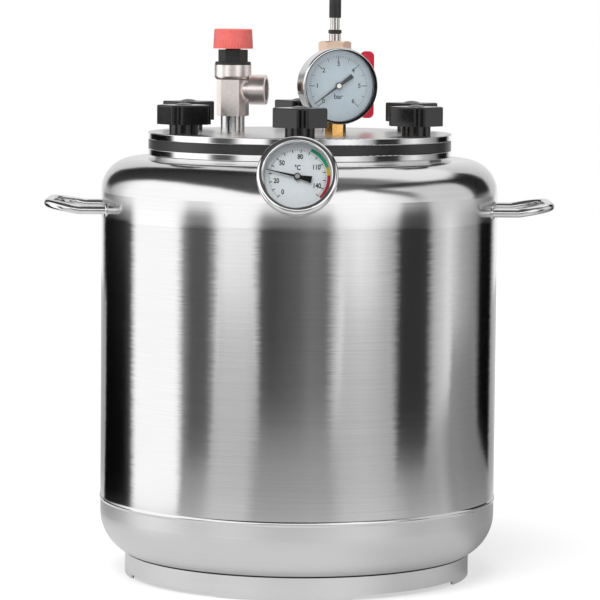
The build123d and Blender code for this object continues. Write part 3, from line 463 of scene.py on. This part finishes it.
# Plated, brass and painted metals, plastics and rubber
coats = {
    "plated_valve": {"nodes": ["safety_valve_body", "ball_valve_body", "ball_valve_end", "ball_valve_gland_nut"],
                     "dark": rgb(0.86, 0.78, 0.75), "light": rgb(1.0, 0.95, 0.93), "metal": 1.0, "rough": 0.33,
                     "roughSpread": 0.1, "grain": 420.0, "bump": 0.16},
    "chromed_stem": {"nodes": ["air_valve_stem", "air_valve_nut", "gauge_arbor"], "dark": rgb(0.62, 0.6, 0.58),
                     "light": rgb(0.72, 0.7, 0.68), "metal": 1.0, "rough": 0.16, "roughSpread": 0.08,
                     "grain": 500.0, "bump": 0.06},
    "golden_brass": {"nodes": ["gauge_socket", "gauge_sector", "safety_valve_disc",
                               "ball_valve_stem", "air_valve_core_pin"]
                              + [f"knob_{k}_insert" for k in range(1, 7)],
                     "dark": rgb(0.6, 0.31, 0.08), "light": rgb(0.86, 0.52, 0.2), "metal": 1.0, "rough": 0.16,
                     "roughSpread": 0.1, "grain": 600.0, "bump": 0.08},
    "peach_brass": {"nodes": ["air_valve_plug"], "dark": rgb(0.98, 0.7, 0.53), "light": rgb(1.0, 0.82, 0.68),
                    "metal": 1.0, "rough": 0.45, "roughSpread": 0.1, "grain": 500.0, "bump": 0.08},
    "ball_chrome": {"nodes": ["ball_valve_ball"], "dark": grey(0.74), "light": grey(0.8), "metal": 1.0,
                    "rough": 0.06, "roughSpread": 0.04, "grain": 200.0, "bump": 0.01},
    "drawn_spring": {"nodes": ["safety_valve_spring", "thermometer_coil"], "dark": grey(0.34),
                     "light": grey(0.46), "metal": 1.0, "rough": 0.28, "roughSpread": 0.1, "grain": 700.0,
                     "bump": 0.06},
    "tube_bronze": {"nodes": ["gauge_bourdon_tube"], "dark": rgb(0.56, 0.34, 0.18), "light": rgb(0.68, 0.46, 0.26),
                    "metal": 1.0, "rough": 0.28, "roughSpread": 0.1, "grain": 500.0, "bump": 0.06},
    "knob_black": {"nodes": [f"knob_{k}_grip" for k in range(1, 7)], "dark": grey(0.006), "light": grey(0.012),
                   "metal": 0.0, "rough": 0.16, "roughSpread": 0.06, "grain": 380.0, "bump": 0.05},
    "bonnet_black": {"nodes": ["safety_valve_bonnet"], "dark": grey(0.012), "light": grey(0.022), "metal": 0.0,
                     "rough": 0.45, "roughSpread": 0.12, "grain": 500.0, "bump": 0.1},
    "cap_black": {"nodes": ["air_valve_cap"], "dark": grey(0.01), "light": grey(0.022), "metal": 0.0,
                  "rough": 0.35, "roughSpread": 0.12, "grain": 600.0, "bump": 0.08},
    "gasket_rubber": {"nodes": ["lid_gasket", "air_valve_seal"], "dark": grey(0.008), "light": grey(0.02),
                      "metal": 0.0, "rough": 0.34, "roughSpread": 0.14, "grain": 240.0, "bump": 0.1},
    "cap_red": {"nodes": ["safety_valve_cap"], "dark": rgb(0.76, 0.12, 0.11), "light": rgb(0.84, 0.17, 0.15),
                "metal": 0.0, "rough": 0.3, "roughSpread": 0.1, "grain": 420.0, "bump": 0.05, "coat": 0.1},
    "blade_red": {"nodes": ["ball_valve_handle"], "dark": rgb(0.5, 0.008, 0.032), "light": rgb(0.62, 0.016, 0.05),
                  "metal": 0.0, "rough": 0.26, "roughSpread": 0.1, "grain": 300.0, "bump": 0.08, "coat": 0.4},
    "seat_white": {"nodes": ["ball_valve_seats"], "dark": grey(0.78), "light": grey(0.84), "metal": 0.0,
                   "rough": 0.4, "roughSpread": 0.1, "grain": 300.0, "bump": 0.03},
    "dial_grey": {"nodes": ["thermometer_dial"], "dark": rgb(0.64, 0.67, 0.69), "light": rgb(0.69, 0.72, 0.74),
                  "metal": 0.0, "rough": 0.5, "roughSpread": 0.1, "grain": 260.0, "bump": 0.02},
    "dial_blue": {"nodes": ["gauge_dial"], "dark": rgb(0.65, 0.76, 0.83), "light": rgb(0.71, 0.82, 0.89),
                  "metal": 0.0, "rough": 0.5, "roughSpread": 0.1, "grain": 260.0, "bump": 0.02},
    "pointer_black": {"nodes": ["gauge_pointer"], "dark": grey(0.004), "light": grey(0.008), "metal": 0.0,
                      "specular": 0.15, "rough": 0.4, "roughSpread": 0.1, "grain": 500.0, "bump": 0.03},
    "pointer_hub": {"nodes": ["thermometer_pointer"], "dark": grey(0.003), "light": grey(0.006), "metal": 0.0,
                    "specular": 0.15, "rough": 0.35, "roughSpread": 0.1, "grain": 500.0, "bump": 0.03,
                    "hub": "thermometer_pointer_turn", "hubEdge": (0.0021, 0.0023), "hubTone": 0.3},
}


def coatFinish(name, look):
    finish, wire, place = startFinish(name)
    grain = place.noise(look["grain"], grainLook["detail"], grainLook["rough"])
    cloud = place.noise(look["grain"] * grainLook["coatCloud"])
    mottle = grain * grainLook["coatShare"] + cloud * (1 - grainLook["coatShare"])
    colour = mottle.between(*grainLook["contrast"]).blend(look["dark"], look["light"])
    if "hub" in look:  # grey button over the pivot
        out = axisReach(wire, place, look["hub"])[0]
        colour = out.between(*look["hubEdge"]).blend(grey(look["hubTone"]), colour)
    rough = look["rough"] + (mottle - 0.5) * (look["roughSpread"] * 2)
    normal = wire.node("ShaderNodeBump", {}, {"Strength": look["bump"], "Distance": grainLook["coatDepth"],
                                              "Height": grain})
    endFinish(wire, {"Base Color": colour, "Metallic": look["metal"], "Roughness": rough, "Normal": normal,
                     "Coat Weight": look.get("coat", 0.0), "Specular IOR Level": look.get("specular", 0.5)})
    dressed(finish, *look["nodes"])


for name, look in coats.items():
    coatFinish(name, look)

# Dial windows: clear in the middle, mirroring towards the rim, a faint smear
glass = {"clear": 0.012, "edge": 0.45, "edgeBlend": 0.35, "smear": 0.01, "smearSize": 60.0,
         "smearRange": (0.45, 0.75), "tint": rgb(0.9, 0.95, 1.0), "rough": 0.03}


def glassFinish():
    finish, wire, place = startFinish("dial_glass")
    rim = wire.node("ShaderNodeLayerWeight", {}, {"Blend": glass["edgeBlend"]}, "Fresnel")
    smear = place.noise(glass["smearSize"], grainLook["detail"]).between(*glass["smearRange"])
    alpha = glass["clear"] + rim * glass["edge"] + smear * glass["smear"]
    endFinish(wire, {"Base Color": glass["tint"], "Metallic": 1.0, "Roughness": glass["rough"], "Alpha": alpha})
    dressed(finish, "thermometer_glass", "gauge_glass")


glassFinish()
print("finishes on", len(nodes), "nodes")


def dialPlace(joint, dial):  # matrix from a dial's own face, X to the right and Y up, to the frame
    hub = Vector(joints[joint]["pos_m"])
    out = -Vector(joints[joint]["axis"]).normalized()
    right = Vector((0, 0, 1)).cross(out).normalized()
    up = out.cross(right)
    face = max((vertex.co - hub).dot(out) for vertex in nodes[dial].data.vertices)
    turn = Matrix((right, up, out)).transposed().to_4x4()
    return Matrix.Translation(hub + out * face) @ turn


def tickTree(finish):
    tree = bpy.data.node_groups.new("tick_ring", "GeometryNodeTree")
    socket = tree.interface.new_socket
    socket("Geometry", in_out="OUTPUT", socket_type="NodeSocketGeometry")
    names = ["Start", "Step", "Inner", "Outer", "Width", "Thick"]
    socket("Count", in_out="INPUT", socket_type="NodeSocketInt")
    for name in names:
        socket(name, in_out="INPUT", socket_type="NodeSocketFloat")
    wire = Wire(tree)
    count = wire.node("NodeGroupInput", {}, {}, "Count")
    start, step, inner, outer, width, thick = (count.out(name) for name in names)
    angle = start - wire.node("GeometryNodeInputIndex") * step
    middle = (inner + outer) * 0.5
    spot = wire.node("ShaderNodeCombineXYZ", {}, {0: wire.math("COSINE", angle) * middle,
                                                  1: wire.math("SINE", angle) * middle, 2: thick * 0.5})
    line = wire.node("GeometryNodeMeshLine", {}, {"Count": count})
    ring = wire.node("GeometryNodeSetPosition", {}, {"Geometry": line, "Position": spot})
    size = wire.node("ShaderNodeCombineXYZ", {}, {0: outer - inner, 1: width, 2: thick})
    tick = wire.node("GeometryNodeMeshCube", {}, {"Size": size})
    turn = wire.node("ShaderNodeCombineXYZ", {}, {2: angle})
    placed = wire.node("GeometryNodeInstanceOnPoints", {}, {"Points": ring, "Instance": tick, "Rotation": turn})
    solid = wire.node("GeometryNodeRealizeInstances", {}, {0: placed})
    coloured = wire.node("GeometryNodeSetMaterial", {}, {"Geometry": solid, "Material": finish})
    wire.node("NodeGroupOutput", {}, {0: coloured})
    return tree


def grown(name, tree, values):  # the plain mesh that a geometry tree gives
    seed = bpy.data.objects.new(name, bpy.data.meshes.new(name))
    bpy.context.scene.collection.objects.link(seed)
    modifier = seed.modifiers.new("grow", "NODES")
    modifier.node_group = tree
    for item in tree.interface.items_tree:
        if item.in_out == "INPUT" and item.name in values:
            modifier[item.identifier] = values[item.name]
    sight = bpy.context.evaluated_depsgraph_get()
    mesh = bpy.data.meshes.new_from_object(seed.evaluated_get(sight))
    bpy.data.objects.remove(seed)
    return mesh


def lettering(text, size, x, y, thick, bold, squeeze=1.0):
    curve = bpy.data.curves.new("lettering", "FONT")
    curve.body = text
    curve.size = size
    curve.align_x = "CENTER"
    curve.align_y = "CENTER"
    curve.extrude = thick / 2
    curve.offset = bold
    curve.resolution_u = 4  # enough for print this small
    word = bpy.data.objects.new("lettering", curve)
    bpy.context.scene.collection.objects.link(word)
    sight = bpy.context.evaluated_depsgraph_get()
    mesh = bpy.data.meshes.new_from_object(word.evaluated_get(sight))
    bpy.data.objects.remove(word)
    mesh.transform(Matrix.Translation((x, y, thick / 2)) @ Matrix.Diagonal((squeeze, 1.0, 1.0, 1.0)))
    return mesh


def ringSector(inner, outer, fromAngle, toAngle, thick, steps=48):
    shape = bmesh.new()
    rows = []
    for step in range(steps + 1):
        angle = fromAngle + (toAngle - fromAngle) * step / steps
        rows.append([shape.verts.new((radius * cos(angle), radius * sin(angle), height))
                     for radius, height in ((inner, 0), (outer, 0), (outer, thick), (inner, thick))])
    for first, second in zip(rows, rows[1:]):
        for k in range(4):
            shape.faces.new((first[k], first[(k + 1) % 4], second[(k + 1) % 4], second[k]))
    shape.faces.new(rows[0])
    shape.faces.new(rows[-1][::-1])
    bmesh.ops.recalc_face_normals(shape, faces=shape.faces)
    mesh = bpy.data.meshes.new("sector")
    shape.to_mesh(mesh)
    shape.free()
    return mesh


def joined(name, meshes, finish, place):  # several meshes as one piece, put in place
    shape = bmesh.new()
    for mesh in meshes:
        shape.from_mesh(mesh)
    merged = bpy.data.meshes.new(name)
    shape.to_mesh(merged)
    shape.free()
    merged.transform(place)
    merged.materials.clear()
    merged.materials.append(finish)
    piece = bpy.data.objects.new(name, merged)
    bpy.context.scene.collection.objects.link(piece)
    return piece


# Ink of the dial prints
ink = {"black": grey(0.012), "grain": 3000.0, "dim": 0.85, "rough": 0.45, "roughSpread": 0.1}


def inkFinish(name, colour):
    finish, wire, place = startFinish(name)
    grain = place.noise(ink["grain"])
    shade = rgb(*(part * ink["dim"] for part in colour[:3]))
    rough = ink["rough"] + grain * ink["roughSpread"]
    endFinish(wire, {"Base Color": grain.blend(colour, shade), "Roughness": rough})
    return finish


blackInk = inkFinish("black_ink", ink["black"])
ticks = tickTree(blackInk)

# Pressure dial: plain bar scale
gaugeDial = {"zeroAngle": 225.0, "perBar": 45.0, "bars": 6, "label": 0.0195, "height": 0.0056, "bold": 0.00014,
             "major": (1, 0.0218, 0.0272, 0.0006), "half": (2, 0.0235, 0.0272, 0.00045),
             "minor": (10, 0.0253, 0.0272, 0.00028), "thick": 0.00008, "unit": ("bar", 0.0062, -0.0098)}


def makeGaugePrint():
    thick = gaugeDial["thick"]
    zero = radians(gaugeDial["zeroAngle"])
    bar = radians(gaugeDial["perBar"])
    meshes = []
    for key in ("major", "half", "minor"):
        parts, inner, outer, width = gaugeDial[key]
        meshes.append(grown(key, ticks, {"Count": gaugeDial["bars"] * parts + 1, "Start": zero, "Step": bar / parts,
                                         "Inner": inner, "Outer": outer, "Width": width, "Thick": thick}))
    for number in range(gaugeDial["bars"] + 1):
        angle = zero - number * bar
        meshes.append(lettering(str(number), gaugeDial["height"], gaugeDial["label"] * cos(angle),
                                gaugeDial["label"] * sin(angle), thick, gaugeDial["bold"]))
    text, size, low = gaugeDial["unit"]
    meshes.append(lettering(text, size, 0.0, low, thick, gaugeDial["bold"]))
    piece = joined("gauge_print", meshes, blackInk, dialPlace("gauge_pointer_turn", "gauge_dial"))
    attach(piece, "lid")


# Thermometer dial: plain Celsius scale with three coloured ranges
heatDial = {"zeroAngle": 227.0, "perDegree": 1.8, "top": 150, "labels": (0, 20, 50, 80, 110, 140),
            "label": 0.0185, "height": 0.0062, "bold": 0.00018, "major": (10, 0.0222, 0.0252, 0.0008),
            "minor": (2, 0.0236, 0.0252, 0.0003), "arc": (0.0257, 0.0286), "thick": 0.00008, "squeeze": 0.78,
            "unit": ("°C", 0.0062, 0.0085),
            "ranges": (("green_ink", 90, 115, rgb(0.008, 0.36, 0.17)),
                       ("yellow_ink", 115, 124, rgb(0.6, 0.45, 0.035)),
                       ("red_ink", 124, 150, rgb(0.36, 0.01, 0.024)))}


def makeHeatPrint():
    thick = heatDial["thick"]
    zero = radians(heatDial["zeroAngle"])
    degree = radians(heatDial["perDegree"])
    place = dialPlace("thermometer_pointer_turn", "thermometer_dial")
    meshes = []
    for key in ("major", "minor"):
        step, inner, outer, width = heatDial[key]
        meshes.append(grown(key, ticks, {"Count": heatDial["top"] // step + 1, "Start": zero, "Step": degree * step,
                                         "Inner": inner, "Outer": outer, "Width": width, "Thick": thick}))
    for number in heatDial["labels"]:
        angle = zero - number * degree
        meshes.append(lettering(str(number), heatDial["height"], heatDial["label"] * cos(angle),
                                heatDial["label"] * sin(angle), thick, heatDial["bold"], heatDial["squeeze"]))
    text, size, high = heatDial["unit"]
    meshes.append(lettering(text, size, 0.0, high, thick, heatDial["bold"], heatDial["squeeze"]))
    piece = joined("thermometer_print", meshes, blackInk, place)
    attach(piece, "vessel")
    for name, low, high, colour in heatDial["ranges"]:
        arc = ringSector(*heatDial["arc"], zero - low * degree, zero - high * degree, thick)
        piece = joined("thermometer_" + name.split("_")[0], [arc], inkFinish(name, colour), place)
        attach(piece, "vessel")


makeGaugePrint()
makeHeatPrint()
print("dial prints made")


# Safety valve spring: the same coil, welded into one mesh and set on the lid in place of the imported piece
valveSpring = {"node": "safety_valve_spring", "joint": "safety_disc_lift", "body": "lid", "slot": "spring_steel",
               "weld": 0.000001}


def makeValveSpring():
    shape = bmesh.new()
    shape.from_mesh(nodes[valveSpring["node"]].data)
    bmesh.ops.remove_doubles(shape, verts=shape.verts, dist=valveSpring["weld"])
    mesh = bpy.data.meshes.new("safety_spring_coil")
    shape.to_mesh(mesh)
    shape.free()
    mesh.materials.append(nodes[valveSpring["node"]].data.materials[0])
    mesh.shade_smooth()
    coil = bpy.data.objects.new("safety_spring_coil", mesh)
    bpy.context.scene.collection.objects.link(coil)
    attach(coil, valveSpring["body"])
    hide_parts(valveSpring["node"])
    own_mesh(coil)


makeValveSpring()
print("valve spring made")
